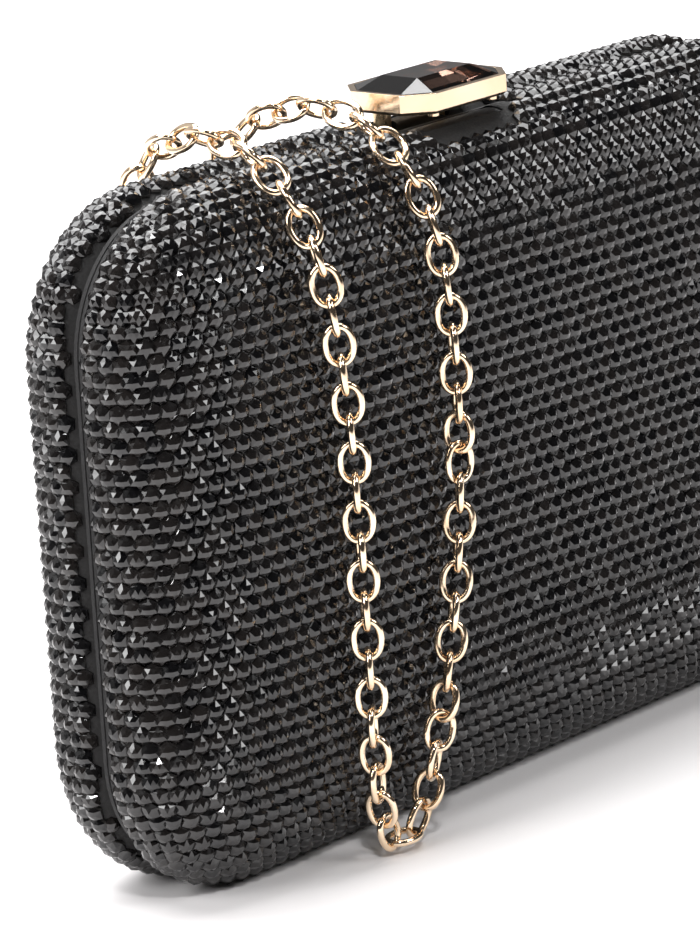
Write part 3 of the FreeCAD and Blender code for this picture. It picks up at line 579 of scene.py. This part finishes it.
def add_lining(name, body, node, side, material):
    """The padded satin lining, slightly puckered towards the rim."""
    rings = pillow_rings(4.4 * MM, from_depth=5.05 * MM)
    puckered = []
    for level, one in enumerate(rings):
        ease = max(0.0, 1 - level / 8)
        centre = np.array([0.0, one[0][1], MIDDLE])
        points = []
        for i, point in enumerate(one):
            wave = math.sin(i * 1.9) * 0.6 + math.sin(i * 0.83 + level) * 0.4
            inward = centre - np.array(point)
            inward /= np.linalg.norm(inward)
            points.append(tuple(np.array(point) + inward * (0.16 * MM * ease * (1 + wave))))
        puckered.append(points)
    lining = sheet_from_rings(name, puckered, material, side)
    thick = lining.modifiers.new("thickness", "SOLIDIFY")
    thick.thickness = 0.7 * MM
    thick.offset = -1.0
    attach(lining, body)
    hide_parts(node)
    return lining


# ---------------------------------------------------------------- chain


def chain_line():
    """Points along the chain's smooth line."""
    curve = bpy.data.curves.new("chain_line", "CURVE")
    curve.dimensions = "3D"
    curve.resolution_u = 64
    spline = curve.splines.new("NURBS")
    spline.points.add(len(CHAIN_ROUTE) - 1)
    for point, place in zip(spline.points, CHAIN_ROUTE):
        point.co = (*(value * MM for value in place), 1)
    spline.order_u = 3
    spline.use_endpoint_u = True
    holder = bpy.data.objects.new("chain_line", curve)
    mesh = bpy.data.meshes.new_from_object(holder)
    points = np.array([vertex.co[:] for vertex in mesh.vertices])
    bpy.data.objects.remove(holder)
    bpy.data.curves.remove(curve)
    bpy.data.meshes.remove(mesh)
    return points


def stepped(points, pitch):
    chosen = [points[0]]
    for point in points:
        if np.linalg.norm(point - chosen[-1]) >= pitch:
            chosen.append(point)
    return chosen


def link_ends(line):
    """Where each link meets the next, a pitch apart in a straight line."""
    fine = spaced(line, 0.04 * MM)
    short, long = 0.5 * LINK_LENGTH, LINK_LENGTH
    for _ in range(16):
        pitch = (short + long) / 2
        if len(stepped(fine, pitch)) > LINK_COUNT:
            short = pitch
        else:
            long = pitch
    return stepped(fine, short)


def lean(index):
    """How far a link leans about the line, one way before the low bend and the other way after it."""
    bend = LINK_COUNT // 2
    eased = min(1, min(index, abs(index - bend), LINK_COUNT - 1 - index) / 6)
    return LEAN * eased if index < bend else -LEAN * eased


def link_turns():
    """How each link is turned about the line, in degrees, as in the CAD model, with a little play."""
    turns, upright = [], True
    while len(turns) < LINK_COUNT:
        if len(turns) in TWISTS:
            turns += [62, 118]
            upright = False
        turns.append((90 if upright else 0) + random.uniform(-5, 5))
        upright = not upright
    return [turn + lean(index) for index, turn in enumerate(turns[:LINK_COUNT])]


def link_template(around=44, across=16):
    """An oval link of round wire, lying flat, with the slight thickening of its soldered joint on one side."""
    half_length = LINK_LENGTH / 2 - WIRE
    half_width = LINK_WIDTH / 2 - WIRE
    points, faces = [], []
    for i in range(around):
        angle = 2 * math.pi * i / around
        cos, sin = math.cos(angle), math.sin(angle)
        centre = Vector((half_length * math.copysign(abs(cos) ** 0.92, cos),
                         half_width * math.copysign(abs(sin) ** 0.92, sin), 0))
        outward = Vector((cos / half_length, sin / half_width, 0)).normalized()
        joint = 1 + 0.05 * math.exp(-((angle - math.pi / 2) / 0.12) ** 2)
        for j in range(across):
            turn = 2 * math.pi * j / across
            points.append(centre + (outward * math.cos(turn) + Vector((0, 0, 1)) * math.sin(turn)) * WIRE * joint)
    for i in range(around):
        for j in range(across):
            a, b = (i + 1) % around, (j + 1) % across
            faces.append((i * across + j, a * across + j, a * across + b, i * across + b))
    return points, faces


def add_chain(material):
    """The whole chain as one mesh of separate links."""
    line = chain_line()
    ends = [Vector(end) for end in link_ends(line)]
    template, faces = link_template()
    vertices, all_faces = [], []
    for start, end, turn in zip(ends, ends[1:], link_turns()):
        middle = (start + end) / 2
        along = (end - start).normalized()
        core = Vector((middle.x, 0, min(middle.z, TOP - FACE_DEPTH)))
        side = along.cross(middle - core).normalized()
        outward = side.cross(along)
        place = Matrix.Translation(middle) @ Matrix((along, side, outward)).transposed().to_4x4()
        place = place @ Matrix.Rotation(math.radians(turn), 4, "X")
        first = len(vertices)
        vertices += [place @ point for point in template]
        all_faces += [tuple(first + v for v in face) for face in faces]
    chain = add_mesh("chain", vertices, all_faces, [material], smooth=True)
    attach(chain, "back_half")
    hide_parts("chain_links")


# ---------------------------------------------------------------- materials of the CAD pieces


def paint(material, *nodes):
    for node in nodes:
        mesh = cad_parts[node].data
        mesh.materials.clear()
        mesh.materials.append(material)


# ---------------------------------------------------------------- studio


def add_light(name, at, towards, width, height, power, colour=(1, 1, 1)):
    data = bpy.data.lights.new(name, "AREA")
    data.shape = "RECTANGLE"
    data.size, data.size_y = width, height
    data.energy = power
    data.color = colour
    light = bpy.data.objects.new(name, data)
    light.location = at
    light.rotation_euler = (Vector(towards) - Vector(at)).to_track_quat("-Z", "Y").to_euler()
    scene.collection.objects.link(light)


def add_studio():
    """A white table under soft boxes, in a dark room."""
    scene.view_settings.view_transform = "Standard"
    made, nodes, links, shader = new_material("white_table")
    cloud = add_noise(nodes, links, 3)
    links.new(add_colours(nodes, links, cloud.outputs["Fac"], (0.86, 0.83, 0.835), (0.90, 0.885, 0.885)),
              shader.inputs["Base Color"])
    shader.inputs["Roughness"].default_value = 0.55
    floor = add_mesh("table", [(-3, -3, 0), (3, -3, 0), (3, 3, 0), (-3, 3, 0)], [(0, 1, 2, 3)], [made])
    add_light("top_box", (0.1, 0.35, 1.1), (0, 0, 0.05), 1.5, 1.0, 34)
    add_light("left_box", (-1.1, 0.25, 0.75), (0, 0, 0.05), 0.5, 0.7, 11)
    add_light("front_box", (0.35, -0.95, 0.85), (0, 0, 0.05), 0.45, 0.45, 5)
    add_light("sparkle_box", (-0.55, -0.6, 0.9), (0, 0, 0.05), 0.09, 0.09, 4)
    world = bpy.data.worlds.new("room")
    world.use_nodes = True
    nodes, links = world.node_tree.nodes, world.node_tree.links
    place = nodes.new("ShaderNodeTexCoord")
    split = nodes.new("ShaderNodeSeparateXYZ")
    links.new(place.outputs["Generated"], split.inputs["Vector"])
    ramp = nodes.new("ShaderNodeValToRGB")
    ramp.color_ramp.elements[0].position = 0.45
    ramp.color_ramp.elements[0].color = (0.05, 0.048, 0.047, 1)
    ramp.color_ramp.elements[1].position = 0.95
    ramp.color_ramp.elements[1].color = (0.75, 0.74, 0.74, 1)
    links.new(split.outputs["Y"], ramp.inputs["Fac"])
    links.new(ramp.outputs["Color"], nodes["Background"].inputs["Color"])
    nodes["Background"].inputs["Strength"].default_value = 1.0
    scene.world = world


# ---------------------------------------------------------------- build

add_camera()
pale_gold = gold("pale_gold", (0.96, 0.78, 0.58), (0.86, 0.64, 0.43), 0.07, 0.17)
inner_gold = gold("inner_gold", (0.80, 0.62, 0.40), (0.68, 0.50, 0.30), 0.2, 0.36)
add_chain(pale_gold)

stone_materials = [black_crystal(), foil_edge()]
net_material = stone_net()
satin_material = satin()
for body, word, side in (("back_half", "back", 1), ("front_half", "front", -1)):
    add_stones(f"{word}_stones", body, f"{word}_stone_cover", side, stone_materials)
    add_net(f"{word}_net", body, side, net_material)
    add_lining(f"{word}_satin_lining", body, f"{word}_lining", side, satin_material)

paint(pale_gold, "clasp_bezel", "bezel_feet", "chain_lug", "lug_rivets", "chain_ring")
paint(inner_gold, "back_rim_frame", "front_rim_frame", "back_hinge_leaf", "front_hinge_leaf", "back_hinge_rivets",
      "front_hinge_rivets", "strike_tongue", "strike_rivets", "button_posts", "catch_bar", "clasp_housing",
      "housing_cover", "guide_bushes")
paint(steel(), "hinge_pin", "housing_screws", "clasp_spring")
paint(smoky_crystal(), "clasp_crystal")
paint(velvet(), "back_seam_facing", "front_seam_facing")
paint(black_plastic(), "back_shell", "front_shell")
add_studio()
